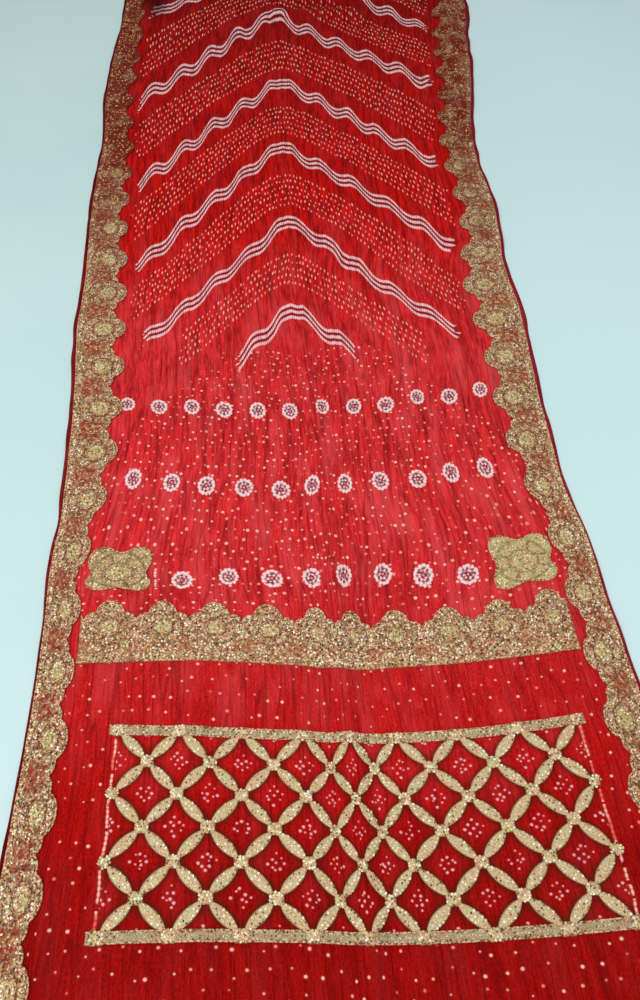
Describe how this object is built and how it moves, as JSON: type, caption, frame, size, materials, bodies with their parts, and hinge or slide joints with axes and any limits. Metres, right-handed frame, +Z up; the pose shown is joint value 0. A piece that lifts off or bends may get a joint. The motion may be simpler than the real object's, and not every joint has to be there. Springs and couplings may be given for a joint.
{
  "type": "bandhani dupatta laid flat",
  "caption": "Long red crinkled tie-dyed dupatta laid out flat, with scalloped gold lace along its sides, a gold cross border, corner motifs and an openwork gold panel near its end.",
  "frame": {"origin": "centre of the cloth's bounding rectangle, on the surface that it lies on", "axes": "+Y along the length from the end with the gold panel to the other end, +X to the right when seen from the panel end, +Z up"},
  "size_m": [1.026, 2.57, 0.0181],
  "materials": {
    "dyed_cloth": "fine crinkled silk-like weave, resist-dyed with pale dots on red",
    "gold_work": "grainy gold ribbon and thread embroidery, soft metallic glints"
  },
  "bodies": {
    "root": {"cloth": "dyed_cloth", "lace_left": "gold_work", "lace_right": "gold_work", "lace_cross": "gold_work", "corner_left": "gold_work", "corner_right": "gold_work", "net_panel": "gold_work"}
  },
  "joints": []
}
